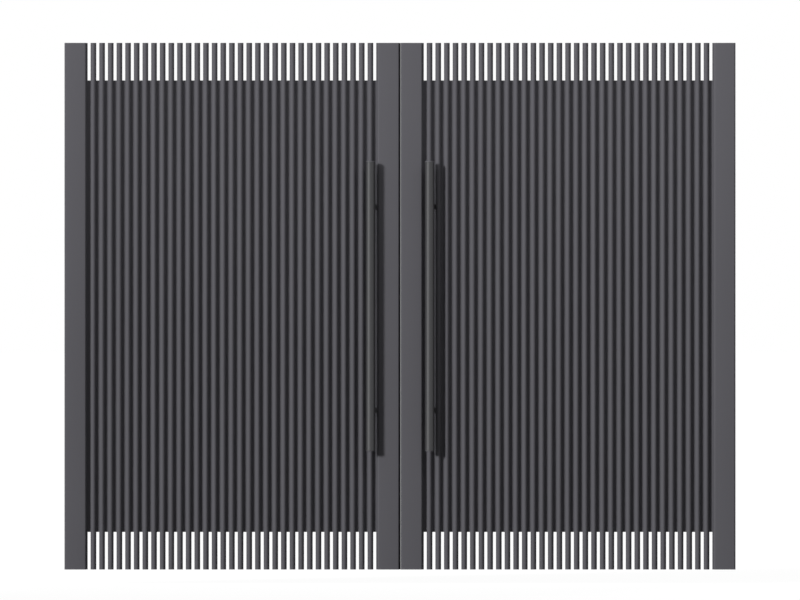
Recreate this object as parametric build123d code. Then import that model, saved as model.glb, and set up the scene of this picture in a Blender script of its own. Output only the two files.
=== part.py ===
"""A pair of swing gate leaves in powder coated aluminium, with a front of vertical half oval slats.

Each leaf is two full height stiles with four rails between them, a flat sheet on the front of the
rails, and slats on the front of the sheet. The slats run past the sheet at the top and the bottom,
so the gate is open between them there. A long pull handle, a straight tube on two legs, stands on
the slat beside each meeting stile. The leaves hang on two hinges each. The fixed halves of the
hinges bolt to the front of two piers or posts, behind the outer stiles, and the leaves open towards
the front.

The gate frame has X across the gate with 0 at the seam between the leaves, Y = 0 at the front of the
sheet with -Y towards the front, and Z = 0 at the leaves' lower edge. Every piece is made there for
the right leaf, mirrored for the left one, and moved so that the origin is on the back of the lower
left hinge's fixed plate, between its bolts. All sizes are in millimetres.
"""

from build123d import *

import math
import os

# Whole leaf
leaf_height = 1825.0
seam = 5.0  # between the two meeting stiles
open_zone = 130.0  # slats run past the sheet by this much, above and below

# Slats, half oval, flat at the back
slat_count = 33
slat_width = 20.0
slat_space = 10.0
slat_depth = 15.0
slat_flats = 12  # round the nose, each a chord of the half oval

# Sheet behind the slats
sheet_thickness = 3.0
sheet_side_gap = 0.3  # between the sheet's edge and the stile's side

# Stiles, hollow extrusions with a lip that the sheet lies behind
stile_width = 75.0
stile_depth = 60.0
stile_wall = 2.5
stile_corner = 6.0
stile_proud = 20.0  # front of the stile ahead of the front of the sheet
lip_width = 5.0
lip_thickness = 3.0

# End caps of the stiles
cap_thickness = 3.0
cap_plug_length = 12.0
cap_plug_gap = 0.2

# Rails, rectangular tubes behind the sheet
rail_height = 40.0
rail_depth = 30.0
rail_wall = 2.0
rail_corner = 3.0

# Pull handle, a straight tube on two legs, with a plug in each end
handle_diameter = 32.0
handle_wall = 2.0
handle_length = 1005.0  # over all, with the plugs
handle_stand_off = 48.0  # the tube's axis ahead of the front of the sheet
handle_plug_rim = 2.5  # thickness of a plug's round end plate
handle_plug_length = 15.0
handle_plug_gap = 0.1
leg_diameter = 16.0
leg_inset = 150.0  # from the handle's end to the leg's axis
leg_lap = 4.0  # how far a leg reaches back past the slat's nose
leg_seat_gap = 0.05

# Hinges, three knuckles each
hinge_inset = 250.0  # from the leaf's lower and upper edge to a hinge's middle
knuckle_radius = 9.0
knuckle_side_inset = 10.0  # from the stile's outer side to the pin's axis
knuckle_back_gap = 5.0  # from the stile's back to the knuckle
knuckle_front_gap = 1.0  # from the knuckle to the fixed plate
knuckle_length = 30.0  # each of the two fixed knuckles
middle_knuckle_length = 39.0
knuckle_end_gap = 0.5
pin_radius = 5.0
pin_running_gap = 0.05
pin_fixed_gap = 0.02
pin_head_radius = 7.5
pin_head_thickness = 3.0
pin_tail = 3.0
plate_thickness = 6.0
plate_corner = 4.0

# Fixed plate, bolted to the pier
fixed_plate_height = 130.0
fixed_plate_overhang = 2.0  # past the pin's axis, away from the seam
fixed_plate_reach = 66.0  # past the pin's axis, towards the seam
bolt_radius = 4.5
bolt_spacing_across = 26.0
bolt_spacing_up = 90.0
bolt_centre = 38.0  # from the pin's axis to the middle of the four holes

# Moving plate, on the back of the hinge stile
moving_plate_height = 100.0
moving_plate_start = 12.0  # from the pin's axis to the plate's near edge
moving_plate_reach = 58.0

# Rubber strip that closes most of the seam
seal_thickness = 4.5
seal_width = 14.0
seal_round = 2.0

# Places that follow from the sizes above, on the right leaf
slat_pitch = slat_width + slat_space
field_width = slat_count * slat_width + (slat_count + 1) * slat_space
meeting_side = seam / 2
bay_start = meeting_side + stile_width
field_start = bay_start + lip_width
bay_end = field_start + field_width + lip_width
hinge_side = bay_end + stile_width
stile_back = stile_depth - stile_proud
stile_middle_y = stile_back - stile_depth / 2
first_slat_x = field_start + slat_space + slat_width / 2
sheet_bottom = open_zone
sheet_top = leaf_height - open_zone
rail_middle_y = sheet_thickness + rail_depth / 2
handle_low = (leaf_height - handle_length) / 2
handle_high = (leaf_height + handle_length) / 2
axis_x = hinge_side - knuckle_side_inset
axis_y = stile_back + knuckle_back_gap + knuckle_radius
fixed_plate_front = axis_y + knuckle_radius + knuckle_front_gap
fixed_plate_back = fixed_plate_front + plate_thickness
barrel_length = 2 * knuckle_length + middle_knuckle_length + 2 * knuckle_end_gap
hinge_levels = {"lower": hinge_inset, "upper": leaf_height - hinge_inset}
rail_gap = (sheet_top - sheet_bottom - rail_height) / 3
rail_levels = {
    "bottom": sheet_bottom + rail_height / 2,
    "lower": sheet_bottom + rail_height / 2 + rail_gap,
    "upper": sheet_bottom + rail_height / 2 + 2 * rail_gap,
    "top": sheet_top - rail_height / 2,
}

# The origin, between the bolts of the lower left fixed plate, as a point of the gate frame
origin = (bolt_centre - axis_x, fixed_plate_back, hinge_levels["lower"])


def block(low, high):
    """A box between two corners."""
    size = [high[i] - low[i] for i in range(3)]
    middle = [(high[i] + low[i]) / 2 for i in range(3)]
    return Pos(*middle) * Box(*size)


def upright(radius, x, y, low, high):
    """A round rod along Z between two levels."""
    return Pos(x, y, (low + high) / 2) * Cylinder(radius, high - low)


def stile_outline():
    """The stile's outline, tube and lip, with the tube centred on the origin and the lip at +X."""
    tube = RectangleRounded(stile_width, stile_depth, stile_corner)
    lip_start = stile_width / 2 - stile_wall
    lip_end = stile_width / 2 + lip_width
    lip_y = -stile_middle_y - lip_thickness / 2
    return tube + Pos((lip_start + lip_end) / 2, lip_y) * Rectangle(lip_end - lip_start, lip_thickness)


def stile_bore(gap=0.0):
    """The outline of the stile's hollow, smaller all round by a gap."""
    width = stile_width - 2 * stile_wall - 2 * gap
    depth = stile_depth - 2 * stile_wall - 2 * gap
    return Rectangle(width, depth)


def at_stile(shape, which):
    """Moves a piece made round the stile's own middle to the meeting or the hinge stile."""
    if which == "meeting":
        return Pos(meeting_side + stile_width / 2, stile_middle_y) * shape
    return Pos(hinge_side - stile_width / 2, stile_middle_y) * mirror(shape, about=Plane.YZ)


def stile(which):
    """A stile, as long as the leaf is high less its two end caps."""
    body = extrude(stile_outline() - stile_bore(), leaf_height - 2 * cap_thickness)
    return at_stile(Pos(0, 0, cap_thickness) * body, which)


def stile_cap(which, end):
    """An end cap of a stile: a plate over the whole section and a plug in the hollow."""
    plug = extrude(stile_bore(cap_plug_gap), cap_thickness + cap_plug_length)
    cap = extrude(stile_outline(), cap_thickness) + plug
    if end == "top":
        cap = Pos(0, 0, leaf_height) * mirror(cap, about=Plane.XY)
    return at_stile(cap, which)


def stile_caps(end):
    """The caps of both stiles of a leaf at one end."""
    return Compound([stile_cap(which, end) for which in ("meeting", "hinge")])


def rail(level):
    """A rail from stile to stile, its front on the back of the sheet."""
    outer = RectangleRounded(rail_depth, rail_height, rail_corner)
    inner = Rectangle(rail_depth - 2 * rail_wall, rail_height - 2 * rail_wall)
    end = Plane(origin=(bay_start, rail_middle_y, level), x_dir=(0, 1, 0), z_dir=(1, 0, 0))
    return extrude(end * (outer - inner), bay_end - bay_start)


def sheet():
    """The flat sheet between the stiles, behind their lips."""
    low = (bay_start + sheet_side_gap, 0, sheet_bottom)
    high = (bay_end - sheet_side_gap, sheet_thickness, sheet_top)
    return block(low, high)


def half_oval(half_width, depth):
    """Half an ellipse with its flat side on the X axis and its nose towards -Y."""
    return Ellipse(half_width, depth) & (Pos(0, -depth / 2) * Rectangle(2 * half_width, depth))


def slats():
    """All the slats of a leaf, half ovals with the corners of their flats on the ellipse."""
    turns = [math.pi * i / slat_flats for i in range(slat_flats + 1)]
    outline = [(slat_width / 2 * math.cos(turn), -slat_depth * math.sin(turn)) for turn in turns]
    one = extrude(make_face(Polyline(*outline, close=True)), leaf_height)
    return Compound([Pos(first_slat_x + i * slat_pitch) * one for i in range(slat_count)])


def handle():
    """The tube and its two legs, hollowed to sit on the nose of the slat next to the meeting stile."""
    low = handle_low + handle_plug_rim
    high = handle_high - handle_plug_rim
    tube = upright(handle_diameter / 2, first_slat_x, -handle_stand_off, low, high)
    bore = upright(handle_diameter / 2 - handle_wall, first_slat_x, -handle_stand_off, low, high)
    seat = half_oval(slat_width / 2 + leg_seat_gap, slat_depth + leg_seat_gap)
    legs_back = leg_lap - slat_depth
    legs_front = -handle_stand_off
    for level in (handle_low + leg_inset, handle_high - leg_inset):
        place = Pos(first_slat_x, (legs_back + legs_front) / 2, level) * Rot(90, 0, 0)
        tube += place * Cylinder(leg_diameter / 2, legs_back - legs_front)
    return tube - bore - Pos(first_slat_x) * extrude(seat, leaf_height)


def handle_plugs():
    """The plugs in both ends of the handle: a round end plate, and a spigot inside the tube."""
    plugs = []
    for end, inward in ((handle_low, 1), (handle_high, -1)):
        rim = sorted((end, end + inward * handle_plug_rim))
        spigot = sorted((end, end + inward * handle_plug_length))
        bore_radius = handle_diameter / 2 - handle_wall - handle_plug_gap
        plug = upright(handle_diameter / 2, first_slat_x, -handle_stand_off, *rim)
        plugs.append(plug + upright(bore_radius, first_slat_x, -handle_stand_off, *spigot))
    return Compound(plugs)


def hinge_plate(near, far, front, height, level):
    """A hinge plate with rounded corners, its near and far edge as distances from the pin's axis."""
    face = Plane(origin=(axis_x - (near + far) / 2, front, level), x_dir=(1, 0, 0), z_dir=(0, 1, 0))
    return extrude(face * RectangleRounded(far - near, height, plate_corner), plate_thickness)


def bolt_drills(level):
    """Four drills through a fixed plate, along Y."""
    drill = Rot(90, 0, 0) * Cylinder(bolt_radius, 4 * plate_thickness)
    middle = Pos(axis_x - bolt_centre, fixed_plate_back, level)
    across = bolt_spacing_across / 2
    up = bolt_spacing_up / 2
    return [middle * Pos(x, 0, z) * drill for x in (-across, across) for z in (-up, up)]


def hinge_fixed_half(level):
    """The plate that bolts to the pier, with the upper and the lower knuckle."""
    half = hinge_plate(
        -fixed_plate_overhang, fixed_plate_reach, fixed_plate_front, fixed_plate_height, level
    )
    for low in (level - barrel_length / 2, level + barrel_length / 2 - knuckle_length):
        high = low + knuckle_length
        half += upright(knuckle_radius, axis_x, axis_y, low, high)
        half += block(
            (axis_x - knuckle_radius, axis_y, low), (axis_x + fixed_plate_overhang, fixed_plate_back, high)
        )
    half -= upright(pin_radius + pin_fixed_gap, axis_x, axis_y, level - barrel_length, level + barrel_length)
    for drill in bolt_drills(level):
        half -= drill
    return half


def hinge_moving_half(level):
    """The plate on the back of the hinge stile, with the middle knuckle."""
    half = hinge_plate(moving_plate_start, moving_plate_reach, stile_back, moving_plate_height, level)
    low = level - middle_knuckle_length / 2
    high = level + middle_knuckle_length / 2
    half += upright(knuckle_radius, axis_x, axis_y, low, high)
    half += block(
        (axis_x - moving_plate_start - plate_thickness, stile_back, low),
        (axis_x - pin_radius, axis_y, high),
    )
    return half - upright(pin_radius + pin_running_gap, axis_x, axis_y, low, high)


def hinge_pin(level):
    """The pin of a hinge, with a head on top."""
    low = level - barrel_length / 2 - pin_tail
    high = level + barrel_length / 2
    head = upright(pin_head_radius, axis_x, axis_y, high, high + pin_head_thickness)
    return upright(pin_radius, axis_x, axis_y, low, high) + head


def seam_seal():
    """The rubber strip on the side of the left leaf's meeting stile, made for the right leaf."""
    section = RectangleRounded(2 * seal_thickness, seal_width, seal_round)
    half = section & (Pos(-seal_thickness / 2, 0) * Rectangle(seal_thickness, seal_width))
    return Pos(meeting_side, stile_middle_y) * extrude(half, leaf_height)


def leaf_pieces():
    """The pieces of one leaf with its hinges, named, for the right side."""
    pieces = {
        "meeting_stile": stile("meeting"),
        "hinge_stile": stile("hinge"),
        "top_caps": stile_caps("top"),
        "bottom_caps": stile_caps("bottom"),
        "sheet": sheet(),
        "slats": slats(),
        "handle": handle(),
        "handle_plugs": handle_plugs(),
    }
    for name, level in rail_levels.items():
        pieces[name + "_rail"] = rail(level)
    for name, level in hinge_levels.items():
        pieces[name + "_hinge_fixed_plate"] = hinge_fixed_half(level)
        pieces[name + "_hinge_moving_plate"] = hinge_moving_half(level)
        pieces[name + "_hinge_pin"] = hinge_pin(level)
    return pieces


def write(shape, name):
    """Moves a piece from the gate frame to the object's own origin and writes it."""
    export_step(Pos(-origin[0], -origin[1], -origin[2]) * shape, "parts/" + name + ".step")


os.makedirs("parts", exist_ok=True)
for name, piece in leaf_pieces().items():
    write(piece, "right_" + name)
    write(mirror(piece, about=Plane.YZ), "left_" + name)
write(mirror(seam_seal(), about=Plane.YZ), "seam_seal")
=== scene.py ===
"""Looks of a double leaf swing gate: powder coated aluminium, half oval slats and long pull handles.

Lengths are in metres in the frame's own axes: X across the gate, +Y into the piers, Z up.
Sizes that a maker would give in millimetres are written as a number times MM.
"""

import math

import bmesh
import bpy
import numpy as np

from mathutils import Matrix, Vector


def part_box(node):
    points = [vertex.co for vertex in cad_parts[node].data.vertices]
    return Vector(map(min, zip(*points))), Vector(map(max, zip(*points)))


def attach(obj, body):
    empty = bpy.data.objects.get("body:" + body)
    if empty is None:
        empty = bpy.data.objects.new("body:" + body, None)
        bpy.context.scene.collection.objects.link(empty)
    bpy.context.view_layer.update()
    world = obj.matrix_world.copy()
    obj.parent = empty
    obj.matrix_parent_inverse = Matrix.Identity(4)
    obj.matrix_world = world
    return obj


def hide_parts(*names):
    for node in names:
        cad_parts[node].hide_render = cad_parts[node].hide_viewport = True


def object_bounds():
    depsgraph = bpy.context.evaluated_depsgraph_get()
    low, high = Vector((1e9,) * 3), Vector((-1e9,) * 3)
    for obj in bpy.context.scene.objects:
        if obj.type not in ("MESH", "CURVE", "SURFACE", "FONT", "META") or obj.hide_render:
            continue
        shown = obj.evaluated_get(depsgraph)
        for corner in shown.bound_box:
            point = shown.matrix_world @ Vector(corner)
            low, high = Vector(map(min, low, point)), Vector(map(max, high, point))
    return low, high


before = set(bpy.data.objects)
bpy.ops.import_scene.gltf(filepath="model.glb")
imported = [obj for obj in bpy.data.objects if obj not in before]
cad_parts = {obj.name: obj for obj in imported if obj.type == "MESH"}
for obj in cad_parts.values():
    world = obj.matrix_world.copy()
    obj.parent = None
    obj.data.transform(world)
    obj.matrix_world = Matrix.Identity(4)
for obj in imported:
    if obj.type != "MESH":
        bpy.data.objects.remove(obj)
cad_low, cad_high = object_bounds()

MM = 0.001
SIDES = ("left", "right")
LEVELS = ("lower", "upper")
RAILS = ("bottom", "lower", "upper", "top")

# Stiles and rails, as the source has them
stile_width = 75 * MM
stile_corner = 6 * MM
lip_thickness = 3 * MM
lip_edge = 0.5 * MM
rail_corner = 3 * MM

# Slat extrusion and its end plugs
slat_pitch = 30 * MM
slat_half_width = 10 * MM
slat_wall = 2 * MM
slat_edge = 0.8 * MM  # radius of the two long edges at the flat
slat_inner_edge = 0.4 * MM
slat_segments = 28
slat_plug_depth = 1.5 * MM  # the plug sits this far inside the slat's end
slat_plug_length = 8 * MM
slat_plug_fit = 1.02  # the plug's gap to the outer skin, in walls
slat_plug_segments = 12

# Handle and hinge pins
leg_radius = 8 * MM
leg_inset = 147.5 * MM  # from the end of the handle's tube
handle_ease = 0.5 * MM
plug_dome_rise = 1.2 * MM
plug_dome_share = 0.14  # of the radius, taken up by the dome's curve
pin_radius = 5 * MM
pin_head_height = 3 * MM
pin_dome_rise = 1.2 * MM
pin_dome_share = 0.28
pin_ease = 0.6 * MM

# Screws, bolts and welds, which are only here
rail_screw_radius = 3.2 * MM
rail_screw_height = 1.4 * MM
weld_radius = 2.2 * MM
weld_ripple = 3.0 * MM  # from one ripple of a weld to the next
weld_swell = 0.16  # of the radius
screw_head_radius = 5.5 * MM
screw_head_height = 3.0 * MM
screw_socket_radius = 2.1 * MM
screw_inset_across = 11 * MM
screw_inset_up = 15 * MM
hinge_plate_width = 46 * MM  # the flat part of a moving plate, behind the stile
hinge_plate_thickness = 6 * MM
washer_radius = 8.4 * MM
washer_height = 1.6 * MM
bolt_radius = 6.5 * MM  # half the width across the head's flats
bolt_height = 5.3 * MM
bolt_hole_radius = 2 * MM

# The photograph's frame: 800 pixels wide, with the gate's middle 6.2 pixels below its centre
photo_width = 800
metres_per_pixel = 3.4645 * MM
gate_below_centre = 6.2
lens_mm = 600.0
sensor_mm = 36.0

# Light, as directions of travel, and the pale floor under the leaves
soft_angle = math.radians(20)
key_travel = (0.95, 1.0, -0.43)
key_strength = 2.64
key_angle = math.radians(9)
rear_travel = (-0.25, -1.0, -0.55)
rear_strength = 1.3
overhead_power = 98.0
ambient_strength = 0.04
floor_drop = 50 * MM
floor_size = 400.0


def linear(hex_colour):
    """An sRGB hex colour as linear red, green, blue and full alpha."""
    values = [int(hex_colour[i : i + 2], 16) / 255 for i in (1, 3, 5)]
    curve = [v / 12.92 if v <= 0.04045 else ((v + 0.055) / 1.055) ** 2.4 for v in values]
    return (*curve, 1.0)


def add_node(material, kind, settings=None, inputs=None):
    """Adds one shader node with its settings, and its inputs as values or as sockets to link from."""
    tree = material.node_tree
    node = tree.nodes.new(kind)
    for name, value in (settings or {}).items():
        setattr(node, name, value)
    for name, value in (inputs or {}).items():
        socket = node.inputs[name]
        if isinstance(value, bpy.types.NodeSocket):
            tree.links.new(value, socket)
        else:
            socket.default_value = value
    return node


def new_material(name):
    """An empty node material and the node that is its output."""
    material = bpy.data.materials.new(name)
    material.use_nodes = True
    material.node_tree.nodes.clear()
    return material, add_node(material, "ShaderNodeOutputMaterial")


def coated_metal(name, colour, roughness, specular, grain_mm, grain_height, cloud=0.03):
    """A stoved powder coat: an even colour with slow cloudy variation, and a fine pebbled skin.

    The pebbles are a noise whose bumps are grain_mm wide, drawn a little coarser than a real coat's
    so that they show, with a second noise of three times that width under it.
    """
    material, output = new_material(name)
    place = add_node(material, "ShaderNodeTexCoord").outputs["Object"]
    slow = add_node(
        material, "ShaderNodeTexNoise", inputs={"Vector": place, "Scale": 1 / 0.35, "Detail": 2.0}
    )
    shade = add_node(
        material,
        "ShaderNodeMapRange",
        inputs={"Value": slow.outputs["Fac"], "To Min": 1 - cloud, "To Max": 1 + cloud},
    )
    tint = add_node(
        material,
        "ShaderNodeVectorMath",
        {"operation": "SCALE"},
        {0: linear(colour)[:3], "Scale": shade.outputs["Result"]},
    )
    fine = add_node(
        material,
        "ShaderNodeTexNoise",
        inputs={"Vector": place, "Scale": 1000 / grain_mm, "Detail": 1.0, "Roughness": 0.4},
    )
    wide = add_node(
        material,
        "ShaderNodeTexNoise",
        inputs={"Vector": place, "Scale": 1000 / (3 * grain_mm), "Detail": 1.0},
    )
    height = add_node(
        material,
        "ShaderNodeMath",
        {"operation": "ADD"},
        {0: fine.outputs["Fac"], 1: wide.outputs["Fac"]},
    )
    bump = add_node(
        material,
        "ShaderNodeBump",
        inputs={"Height": height.outputs[0], "Strength": 0.35, "Distance": grain_height * MM},
    )
    gloss = add_node(
        material,
        "ShaderNodeMapRange",
        inputs={
            "Value": wide.outputs["Fac"],
            "To Min": roughness - 0.04,
            "To Max": roughness + 0.04,
        },
    )
    coat = add_node(
        material,
        "ShaderNodeBsdfPrincipled",
        inputs={
            "Base Color": tint.outputs[0],
            "Roughness": gloss.outputs["Result"],
            "Specular IOR Level": specular,
            "Normal": bump.outputs["Normal"],
        },
    )
    material.node_tree.links.new(coat.outputs["BSDF"], output.inputs["Surface"])
    return material


def turned_steel(name, colour, roughness, lines_mm):
    """Bare metal with fine lines across Z, as left by turning or brushing round an upright piece."""
    material, output = new_material(name)
    place = add_node(material, "ShaderNodeTexCoord").outputs["Object"]
    stretch = add_node(
        material,
        "ShaderNodeMapping",
        inputs={"Vector": place, "Scale": (30.0, 30.0, 1000 / lines_mm)},
    )
    lines = add_node(
        material, "ShaderNodeTexNoise", inputs={"Vector": stretch.outputs[0], "Scale": 1.0, "Detail": 2.0}
    )
    gloss = add_node(
        material,
        "ShaderNodeMapRange",
        inputs={
            "Value": lines.outputs["Fac"],
            "To Min": roughness - 0.08,
            "To Max": roughness + 0.08,
        },
    )
    bump = add_node(
        material,
        "ShaderNodeBump",
        inputs={"Height": lines.outputs["Fac"], "Strength": 0.3, "Distance": 0.05 * MM},
    )
    metal = add_node(
        material,
        "ShaderNodeBsdfPrincipled",
        inputs={
            "Base Color": linear(colour),
            "Metallic": 1.0,
            "Roughness": gloss.outputs["Result"],
            "Normal": bump.outputs["Normal"],
        },
    )
    material.node_tree.links.new(metal.outputs["BSDF"], output.inputs["Surface"])
    return material


def moulded(name, colour, roughness, grain_mm):
    """Moulded plastic or rubber with a fine eroded grain."""
    material, output = new_material(name)
    place = add_node(material, "ShaderNodeTexCoord").outputs["Object"]
    grain = add_node(
        material,
        "ShaderNodeTexNoise",
        inputs={"Vector": place, "Scale": 1000 / grain_mm, "Detail": 3.0, "Roughness": 0.6},
    )
    bump = add_node(
        material,
        "ShaderNodeBump",
        inputs={"Height": grain.outputs["Fac"], "Strength": 0.4, "Distance": 0.1 * MM},
    )
    gloss = add_node(
        material,
        "ShaderNodeMapRange",
        inputs={
            "Value": grain.outputs["Fac"],
            "To Min": roughness - 0.05,
            "To Max": roughness + 0.05,
        },
    )
    body = add_node(
        material,
        "ShaderNodeBsdfPrincipled",
        inputs={
            "Base Color": linear(colour),
            "Roughness": gloss.outputs["Result"],
            "Specular IOR Level": 0.4,
            "Normal": bump.outputs["Normal"],
        },
    )
    material.node_tree.links.new(body.outputs["BSDF"], output.inputs["Surface"])
    return material


# Anthracite polyester powder coat: matt, nearly neutral, with a fine pebbled skin
anthracite_coat = coated_metal("anthracite_powder_coat", "#5E5D62", 0.65, 0.12, 0.9, 0.05)
# The same powder on the steel hinges, a little darker and smoother
hinge_coat = coated_metal("hinge_powder_coat", "#4A4A4F", 0.5, 0.3, 0.9, 0.04)
# Dark grey satin coat of the handles: a soft brighter line on the side that the light comes from
handle_coat = coated_metal("dark_grey_satin_coat", "#353537", 0.42, 0.5, 0.5, 0.01)
# Turned stainless steel of the hinge pins and screws
pin_steel = turned_steel("turned_stainless_steel", "#B9B8B4", 0.32, 0.25)
# Nylon end caps, moulded matt in the colour of the coat
cap_nylon = moulded("moulded_anthracite_nylon", "#57565B", 0.6, 0.4)
# Ethylene propylene rubber of the seam strip, dull black
seal_rubber = moulded("black_epdm_rubber", "#1C1C1E", 0.75, 0.25)

slot_materials = {
    "coated_aluminium": anthracite_coat,
    "hinge_steel": hinge_coat,
    "handle_coat": handle_coat,
    "pin_steel": pin_steel,
    "cap_plastic": cap_nylon,
    "seal_rubber": seal_rubber,
}


def new_piece(name, points, faces, slot, body, smooth=True):
    """A mesh from arrays of points and of face corners, with its slot's material, riding on a body.

    The faces of each closed shell are all turned to the outside.
    """
    mesh = bpy.data.meshes.new(name)
    mesh.from_pydata(np.asarray(points).tolist(), [], [list(face) for face in faces])
    shells = bmesh.new()
    shells.from_mesh(mesh)
    bmesh.ops.recalc_face_normals(shells, faces=shells.faces)
    shells.to_mesh(mesh)
    shells.free()
    mesh.update()
    if smooth:
        mesh.shade_smooth()
    mesh.materials.append(slot_materials[slot])
    piece = bpy.data.objects.new(name, mesh)
    bpy.context.scene.collection.objects.link(piece)
    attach(piece, body)
    return piece


def sharpen(piece, degrees=35):
    """Keeps edges sharper than an angle crisp while the rest stays smooth."""
    piece.data.set_sharp_from_angle(angle=math.radians(degrees))


def grid_faces(rows, columns, wrap_columns=False):
    """Quads between the points of a grid that is stored row by row."""
    across = columns if wrap_columns else columns - 1
    i, j = np.meshgrid(np.arange(rows - 1), np.arange(across), indexing="ij")
    a = i * columns + j
    b = i * columns + (j + 1) % columns
    return np.stack([a, b, b + columns, a + columns], axis=-1).reshape(-1, 4)


def joined(parts):
    """One list of points and faces from several, with the face numbers moved along."""
    points = []
    faces = []
    start = 0
    for part_points, part_faces in parts:
        points.append(np.asarray(part_points))
        faces.extend([[int(corner) + start for corner in face] for face in part_faces])
        start += len(part_points)
    return np.concatenate(points), faces


def rounded_rectangle(width, depth, radius, steps=5):
    """The outline of a rectangle whose corners are arcs: each arc is a quarter turn of one circle."""
    turn = np.linspace(0, math.pi / 2, steps)
    arc = radius * np.stack([np.cos(turn), np.sin(turn)], axis=1)
    quarter = np.array([[0, -1], [1, 0]])
    corners = []
    for middle in ((1, 1), (-1, 1), (-1, -1), (1, -1)):
        corners.append(arc + np.array(middle) * (width / 2 - radius, depth / 2 - radius))
        arc = arc @ quarter.T
    return np.concatenate(corners)


def half_oval(half_width, depth, edge, steps=slat_segments):
    """A half ellipse with its flat at v = 0 and its nose at v = -depth, round at the flat's two ends.

    u = half_width cos t and v = -edge - (depth - edge) sin t for t from 0 to a half turn, and a
    quarter circle of radius edge at each end leads into the flat.
    """
    turn = np.linspace(0, math.pi, steps)
    nose = np.stack([half_width * np.cos(turn), -edge - (depth - edge) * np.sin(turn)], axis=1)
    turn = np.linspace(0, math.pi / 2, 4)[1:]
    left = np.stack([-half_width + edge * (1 - np.cos(turn)), -edge * (1 - np.sin(turn))], axis=1)
    right = left[::-1] * (-1, 1)
    return np.concatenate([right, nose, left])


def extruded(profile, place, start, end):
    """A solid from a closed outline (u, v) carried straight from start to end, closed at both ends.

    place turns (u, v, w) arrays into X, Y, Z, with w the distance along the run.
    """
    count = len(profile)
    u = np.tile(profile[:, 0], 2)
    v = np.tile(profile[:, 1], 2)
    w = np.repeat([start, end], count)
    faces = grid_faces(2, count, wrap_columns=True).tolist()
    faces += [list(range(count)), list(range(count, 2 * count))]
    return np.stack(place(u, v, w), axis=1), faces


def tube_shell(outer, inner, place, start, end):
    """A straight tube from two outlines with the same number of points, open at both ends.

    Its wall is one closed surface: outside, rim, inside, rim.
    """
    rings = [(outer, start), (outer, end), (inner, end), (inner, start), (outer, start)]
    placed = [place(ring[:, 0], ring[:, 1], np.full(len(ring), w)) for ring, w in rings[:4]]
    points = np.concatenate([np.stack(ring, axis=1) for ring in placed])
    count = len(outer)
    faces = grid_faces(5, count, wrap_columns=True) % (4 * count)
    return points, faces.tolist()


def turned(profile, place, segments, shape=None):
    """A surface of revolution from (radius, height) pairs, from pole to pole.

    The point at turn t of a pair is (r cos t, r sin t, h). shape, when given, scales the radius of
    each pair by a function of t.
    """
    profile = np.asarray(profile, float)
    turn = np.arange(segments) * 2 * math.pi / segments
    scale = np.ones((len(profile), segments)) if shape is None else shape(turn)
    radius = profile[:, 0, None] * scale
    u = radius * np.cos(turn)
    v = radius * np.sin(turn)
    w = np.broadcast_to(profile[:, 1, None], radius.shape)
    points = np.stack(place(u.ravel(), v.ravel(), w.ravel()), axis=1)
    faces = grid_faces(len(profile), segments, wrap_columns=True).tolist()
    last = (len(profile) - 1) * segments
    faces += [list(range(segments)), list(range(last, last + segments))]
    return points, faces


def tube_along(path, radius, segments):
    """A closed round rod on a path of points: circles square to the path's direction at each point.

    The two directions across the path are carried along it, each time with the part along the
    path taken away. radius is one number or one for each point.
    """
    path = np.asarray(path, float)
    ahead = np.gradient(path, axis=0)
    ahead /= np.linalg.norm(ahead, axis=1)[:, None]
    across = np.cross(ahead, (1.0, 0.0, 0.0))
    weak = np.linalg.norm(across, axis=1) < 0.3
    across[weak] = np.cross(ahead[weak], (0.0, 0.0, 1.0))
    across /= np.linalg.norm(across, axis=1)[:, None]
    other = np.cross(ahead, across)
    turn = np.arange(segments) * 2 * math.pi / segments
    radius = np.broadcast_to(radius, len(path))[:, None, None]
    ring = np.cos(turn)[None, :, None] * across[:, None] + np.sin(turn)[None, :, None] * other[:, None]
    points = (path[:, None] + radius * ring).reshape(-1, 3)
    faces = grid_faces(len(path), segments, wrap_columns=True).tolist()
    last = (len(path) - 1) * segments
    faces += [list(range(segments)), list(range(last, last + segments))]
    return points, faces


def upright_at(x, y, flip=1):
    """Places an outline (u, v) as X and Y round a point, with w as Z. flip -1 mirrors it in X."""
    return lambda u, v, w: (x + flip * u, y + v, w)


def facing_back(x, y, z):
    """Places a turned shape so that its height w points to +Y from a point."""
    return lambda u, v, w: (x + u, y + w, z + v)


def slat_centres(side):
    """The X of each slat's middle."""
    low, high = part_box(side + "_slats")
    return np.arange(low.x + slat_half_width, high.x, slat_pitch)


def add_slats(side):
    """The slats as tubes of half oval section, with a plug set a little way into each end."""
    low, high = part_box(side + "_slats")
    depth = high.y - low.y
    outer = half_oval(slat_half_width, depth, slat_edge)
    inner = half_oval(slat_half_width - slat_wall, depth - 2 * slat_wall, slat_inner_edge)
    inner = inner - (0, slat_wall)
    skin = slat_plug_fit * slat_wall
    plug = half_oval(slat_half_width - skin, depth - 2 * skin, slat_inner_edge, slat_plug_segments)
    plug = plug - (0, skin)
    tubes = []
    plugs = []
    for x in slat_centres(side):
        place = upright_at(x, high.y)
        tubes.append(tube_shell(outer, inner, place, low.z, high.z))
        for end, inward in ((low.z, 1), (high.z, -1)):
            near = end + inward * slat_plug_depth
            plugs.append(extruded(plug, place, near, near + inward * slat_plug_length))
    body = side + "_leaf"
    slats = new_piece(side + "_slat_tubes", *joined(tubes), "coated_aluminium", body)
    sharpen(slats, 40)
    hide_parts(side + "_slats")
    plug_piece = new_piece(side + "_slat_plugs", *joined(plugs), "cap_plastic", body)
    sharpen(plug_piece, 40)


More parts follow.
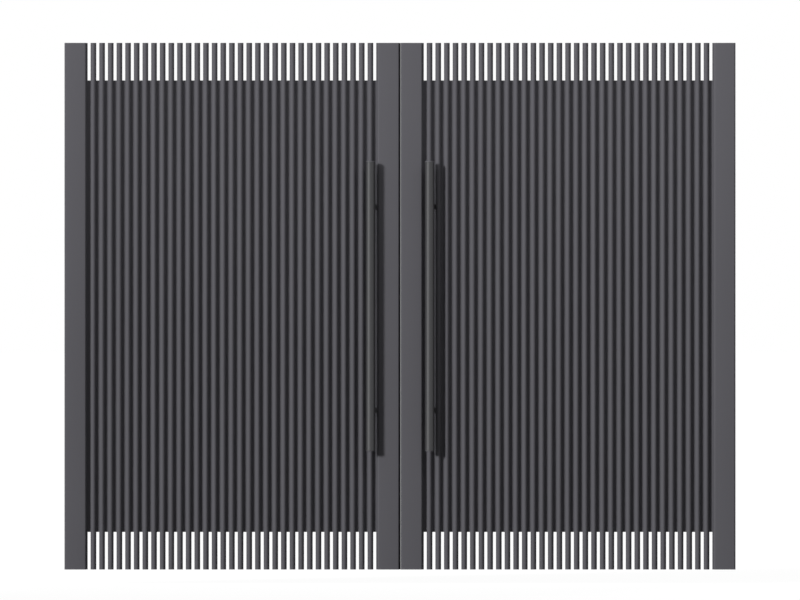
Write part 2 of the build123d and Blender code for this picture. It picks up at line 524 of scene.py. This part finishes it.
def stile_profile(width, depth, corner, lip, lip_front, lip_back):
    """The stile's outline round its middle with the lip at +u, its edges a little round."""
    ring = rounded_rectangle(width, depth, corner, 8)
    far = width / 2 + lip
    lip_points = [
        (width / 2, lip_front),
        (far - lip_edge, lip_front),
        (far, lip_front + lip_edge),
        (far, lip_back - lip_edge),
        (far - lip_edge, lip_back),
        (width / 2, lip_back),
    ]
    return np.concatenate([ring, lip_points])


def add_stile(side, which):
    """A stile between its end caps, with smooth corners and its lip on the side of the sheet."""
    name = side + "_" + which + "_stile"
    low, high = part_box(name)
    lip_at_low_x = (side == "left") == (which == "meeting")
    middle_x = high.x - stile_width / 2 if lip_at_low_x else low.x + stile_width / 2
    middle_y = (low.y + high.y) / 2
    lip = high.x - low.x - stile_width
    lip_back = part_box(side + "_sheet")[0].y - middle_y
    lip_front = lip_back - lip_thickness
    profile = stile_profile(stile_width, high.y - low.y, stile_corner, lip, lip_front, lip_back)
    place = upright_at(middle_x, middle_y, -1 if lip_at_low_x else 1)
    run = extruded(profile, place, low.z, high.z)
    piece = new_piece(name + "_extrusion", *run, "coated_aluminium", side + "_leaf")
    sharpen(piece, 30)
    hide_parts(name)


def dome(radius, share, top, rise, steps):
    """A turned profile whose edge curves in by a share of the radius while it climbs to the top.

    r = radius (1 - share + share cos t) and h = top - rise (1 - sin t), for t up to a quarter turn.
    """
    turn = np.linspace(0, math.pi / 2, steps)
    inward = radius * (1 - share + share * np.cos(turn))
    return list(zip(inward, top - rise * (1 - np.sin(turn))))


def add_handle(side):
    """The pull handle: a tube with eased ends, a domed plug in each end, and two legs behind it.

    The tube and the plugs are turned round Z. A leg is a round rod along Y whose back end follows
    the nose of the slat: y = -depth sqrt(1 - (x / half width)^2) from the slat's flat side.
    """
    low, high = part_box(side + "_handle")
    slat_low, slat_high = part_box(side + "_slats")
    radius = (high.x - low.x) / 2
    x = (low.x + high.x) / 2
    y = low.y + radius
    tube = [
        (radius - handle_ease, low.z),
        (radius, low.z + handle_ease),
        (radius, high.z - handle_ease),
        (radius - handle_ease, high.z),
    ]
    parts = [turned(tube, upright_at(x, y), 64)]
    depth = slat_high.y - slat_low.y
    segments = 32
    for z in (low.z + leg_inset, high.z - leg_inset):
        run = np.linspace(high.y, y, 5)
        path = np.stack([np.full(5, x), run, np.full(5, z)], axis=1)
        points, faces = tube_along(path, leg_radius, segments)
        off = np.clip((points[:segments, 0] - x) / slat_half_width, -1, 1)
        points[:segments, 1] = np.minimum(slat_high.y - depth * np.sqrt(1 - off**2), high.y)
        parts.append((points, faces))
    bar = new_piece(side + "_handle_tube", *joined(parts), "handle_coat", side + "_leaf")
    sharpen(bar, 30)
    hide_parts(side + "_handle")
    plug_low, plug_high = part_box(side + "_handle_plugs")
    plugs = []
    for end, edge, inward in ((plug_low.z, low.z, 1), (plug_high.z, high.z, -1)):
        curve = dome(radius, plug_dome_share, end, -inward * plug_dome_rise, 5)
        plugs.append(turned([(radius, edge)] + curve, upright_at(x, y), 48))
    plug_piece = new_piece(side + "_handle_end_plugs", *joined(plugs), "cap_plastic", side + "_leaf")
    sharpen(plug_piece, 35)
    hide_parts(side + "_handle_plugs")


def add_hinge_pin(side, level):
    """A turned pin: a low domed head on top of a shank whose lower end is eased."""
    name = side + "_" + level + "_hinge_pin"
    low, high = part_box(name)
    head = (high.x - low.x) / 2
    x = (low.x + high.x) / 2
    y = (low.y + high.y) / 2
    under = high.z - pin_head_height
    profile = [
        (pin_radius - pin_ease, low.z),
        (pin_radius, low.z + pin_ease),
        (pin_radius, under),
        (head, under),
    ]
    profile += dome(head, pin_dome_share, high.z, pin_dome_rise, 6)
    shape = turned(profile, upright_at(x, y), 48)
    piece = new_piece(name + "_turned", *shape, "pin_steel", "hinge_fixings")
    sharpen(piece, 30)
    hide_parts(name)


def add_rail_screws(side, level):
    """A row of low dome screw heads on the back of a rail, one behind each slat."""
    low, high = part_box(side + "_" + level + "_rail")
    shares = [(1, 0), (1, 0.4), (0.7, 0.85), (0.25, 1)]
    profile = [(r * rail_screw_radius, h * rail_screw_height) for r, h in shares]
    z = (low.z + high.z) / 2
    heads = [turned(profile, facing_back(x, high.y, z), 10) for x in slat_centres(side)]
    name = side + "_" + level + "_rail_screws"
    piece = new_piece(name, *joined(heads), "coated_aluminium", side + "_leaf")
    sharpen(piece, 50)


def add_weld_beads(side, level):
    """Fillet welds at both ends of a rail: a bead round its upper, back and lower side.

    The bead is a tube on the rail's outline whose radius rises and falls once in each ripple.
    """
    low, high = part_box(side + "_" + level + "_rail")
    corner = rail_corner
    front = low.y + corner
    turn = np.linspace(0, math.pi / 2, 6)
    y = high.y - corner + corner * np.sin(turn)
    upper = np.stack([y, high.z - corner + corner * np.cos(turn)], axis=1)
    lower = upper[::-1] * (1, -1) + (0, low.z + high.z)
    outline = np.concatenate([[(front, high.z)], upper, lower, [(front, low.z)]])
    step = np.linalg.norm(np.diff(outline, axis=0), axis=1)
    along = np.concatenate([[0], np.cumsum(step)])
    at = np.linspace(0, along[-1], int(along[-1] / weld_ripple * 4))
    y = np.interp(at, along, outline[:, 0])
    z = np.interp(at, along, outline[:, 1])
    radius = weld_radius * (1 + weld_swell * np.cos(2 * math.pi * at / weld_ripple))
    beads = []
    for x in (low.x, high.x):
        beads.append(tube_along(np.stack([np.full(len(y), x), y, z], axis=1), radius, 8))
    name = side + "_" + level + "_rail_welds"
    piece = new_piece(name, *joined(beads), "coated_aluminium", side + "_leaf")
    sharpen(piece, 70)


def hexagon(turn):
    """The radius of a hexagon of half width 1 across its flats, at each turn."""
    return 1 / np.cos((turn + math.pi / 6) % (math.pi / 3) - math.pi / 6)


def six_sided(shares):
    """For turned: how far each ring goes from round, at share 0, to a hexagon, at share 1."""
    share = np.array(shares, float)[:, None]
    return lambda turn: 1 - share + share * hexagon(turn)


def socket_screw(place, radius, height, socket):
    """A button head with a hexagon socket: a dome of rings, the last ones drawn in as a hexagon."""
    rings = [(radius, 0.0), (radius, 0.15 * height)]
    rise = np.linspace(0, 1, 6)[1:] * math.pi / 2
    inward = radius * (1 - 0.45 * (1 - np.cos(rise)))
    rings += list(zip(inward, height * (0.15 + 0.85 * np.sin(rise))))
    rings += [(socket, height), (socket, 0.35 * height)]
    return turned(rings, place, 24, six_sided([0] * (len(rings) - 2) + [1, 1]))


def add_plate_screws(side, level):
    """Four button head screws that hold a hinge's moving plate to the stile's back."""
    low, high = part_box(side + "_" + level + "_hinge_moving_plate")
    stile_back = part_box(side + "_hinge_stile")[1].y
    far = high.x if side == "left" else low.x
    inward = 1 if side == "left" else -1
    plate_near = far - inward * hinge_plate_width
    top = stile_back + hinge_plate_thickness
    screws = []
    for x in (plate_near + inward * screw_inset_across, far - inward * screw_inset_across):
        for z in (low.z + screw_inset_up, high.z - screw_inset_up):
            place = facing_back(x, top, z)
            screws.append(socket_screw(place, screw_head_radius, screw_head_height, screw_socket_radius))
    name = side + "_" + level + "_plate_screws"
    piece = new_piece(name, *joined(screws), "pin_steel", side + "_leaf")
    sharpen(piece, 30)


def add_handle_bolts(side):
    """Hexagon head bolts with washers on the back of the sheet, one behind each leg of the handle."""
    low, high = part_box(side + "_handle")
    x = (low.x + high.x) / 2
    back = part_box(side + "_sheet")[1].y
    top = washer_height + bolt_height
    disc = [
        (washer_radius, 0.0),
        (washer_radius, 0.8 * washer_height),
        (washer_radius - 0.3 * MM, washer_height),
        (bolt_hole_radius, washer_height),
    ]
    head = [
        (bolt_radius, washer_height),
        (bolt_radius, top - 0.7 * MM),
        (bolt_radius - 0.6 * MM, top),
        (bolt_hole_radius, top),
    ]
    parts = []
    for z in (low.z + leg_inset, high.z - leg_inset):
        place = facing_back(x, back, z)
        parts.append(turned(disc, place, 32))
        parts.append(turned(head, place, 24, six_sided([1, 1, 0.3, 0])))
    piece = new_piece(side + "_handle_bolts", *joined(parts), "pin_steel", side + "_leaf")
    sharpen(piece, 25)


for node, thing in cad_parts.items():
    ending = node.split("_", 1)[1]
    if "hinge_pin" in ending:
        material = pin_steel
    elif "plate" in ending:
        material = hinge_coat
    elif "caps" in ending:
        material = cap_nylon
    elif node == "seam_seal":
        material = seal_rubber
    elif "handle" in ending:
        material = handle_coat
    else:
        material = anthracite_coat
    thing.data.materials.clear()
    thing.data.materials.append(material)

for side in SIDES:
    add_slats(side)
    add_handle(side)
    add_handle_bolts(side)
    for which in ("meeting", "hinge"):
        add_stile(side, which)
    for level in RAILS:
        add_rail_screws(side, level)
        add_weld_beads(side, level)
    for level in LEVELS:
        add_plate_screws(side, level)
        add_hinge_pin(side, level)


def add_sun(name, travel, strength, angle):
    """A distant lamp that shines along a direction of travel."""
    light = bpy.data.lights.new(name, "SUN")
    light.energy = strength
    light.angle = angle
    lamp = bpy.data.objects.new(name, light)
    lamp.rotation_euler = Vector(travel).to_track_quat("-Z", "Y").to_euler()
    bpy.context.scene.collection.objects.link(lamp)


def seen_rays(material):
    """1 for rays from the camera and for mirror and see-through rays, 0 for the light on things."""
    path = add_node(material, "ShaderNodeLightPath")
    mirrored = add_node(
        material,
        "ShaderNodeMath",
        {"operation": "MAXIMUM"},
        {0: path.outputs["Is Glossy Ray"], 1: path.outputs["Is Transmission Ray"]},
    ).outputs[0]
    return add_node(
        material,
        "ShaderNodeMath",
        {"operation": "MAXIMUM"},
        {0: path.outputs["Is Camera Ray"], 1: mirrored},
    ).outputs[0]


def set_world():
    """White where it is seen or mirrored, and a weak even light on everything else."""
    world = bpy.data.worlds.new("studio")
    bpy.context.scene.world = world
    world.use_nodes = True
    world.node_tree.nodes.clear()
    seen = seen_rays(world)
    strength = add_node(
        world,
        "ShaderNodeMapRange",
        inputs={"Value": seen, "To Min": ambient_strength, "To Max": 1.0},
    )
    sky = add_node(
        world,
        "ShaderNodeBackground",
        inputs={"Color": (1.0, 1.0, 1.0, 1.0), "Strength": strength.outputs["Result"]},
    )
    output = add_node(world, "ShaderNodeOutputWorld")
    world.node_tree.links.new(sky.outputs[0], output.inputs["Surface"])


def add_floor():
    """A pale matt floor that keeps the shadow: part of its white is its own light to the camera."""
    level = cad_low[2] - floor_drop
    half = floor_size / 2
    corners = [(-half, -half, level), (half, -half, level), (half, half, level), (-half, half, level)]
    mesh = bpy.data.meshes.new("floor")
    mesh.from_pydata(corners, [], [(0, 1, 2, 3)])
    floor = bpy.data.objects.new("floor", mesh)
    bpy.context.scene.collection.objects.link(floor)
    material, output = new_material("pale_studio_floor")
    matt = add_node(material, "ShaderNodeBsdfDiffuse", inputs={"Color": (0.14, 0.14, 0.14, 1.0)})
    glow = add_node(
        material,
        "ShaderNodeEmission",
        inputs={"Color": (0.94, 0.94, 0.94, 1.0), "Strength": seen_rays(material)},
    )
    both = add_node(material, "ShaderNodeAddShader", inputs={0: matt.outputs[0], 1: glow.outputs[0]})
    material.node_tree.links.new(both.outputs[0], output.inputs["Surface"])
    mesh.materials.append(material)


def add_overhead():
    """A long soft light above and in front, which makes the leaves lighter towards the top."""
    light = bpy.data.lights.new("overhead", "AREA")
    light.shape = "RECTANGLE"
    light.size = 9.0
    light.size_y = 1.2
    light.energy = overhead_power
    lamp = bpy.data.objects.new("overhead", light)
    middle = Vector((cad_low[0] + cad_high[0], cad_low[1] + cad_high[1], cad_low[2] + cad_high[2])) / 2
    lamp.location = (middle.x, cad_low[1] - 2.0, cad_high[2] + 2.0)
    lamp.rotation_euler = (math.pi / 2, 0, 0)
    bpy.context.scene.collection.objects.link(lamp)


def add_camera():
    """A camera far in front, square to the leaves, that frames them as the photograph does."""
    view = bpy.data.cameras.new("front")
    view.lens = lens_mm
    view.sensor_width = sensor_mm
    view.clip_end = 500.0
    camera = bpy.data.objects.new("front", view)
    distance = photo_width * metres_per_pixel * lens_mm / sensor_mm
    leaf_low, leaf_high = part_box("left_slats")
    z = (leaf_low.z + leaf_high.z) / 2 + gate_below_centre * metres_per_pixel
    stile_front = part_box("left_meeting_stile")[0].y
    camera.location = ((cad_low[0] + cad_high[0]) / 2, stile_front - distance, z)
    camera.rotation_euler = (math.pi / 2, 0, 0)
    bpy.context.scene.collection.objects.link(camera)
    bpy.context.scene.camera = camera


set_world()
add_floor()
add_sun("key", key_travel, key_strength, key_angle)
add_sun("rear", rear_travel, rear_strength, soft_angle)
add_overhead()
add_camera()

bpy.context.scene.view_settings.view_transform = "Standard"
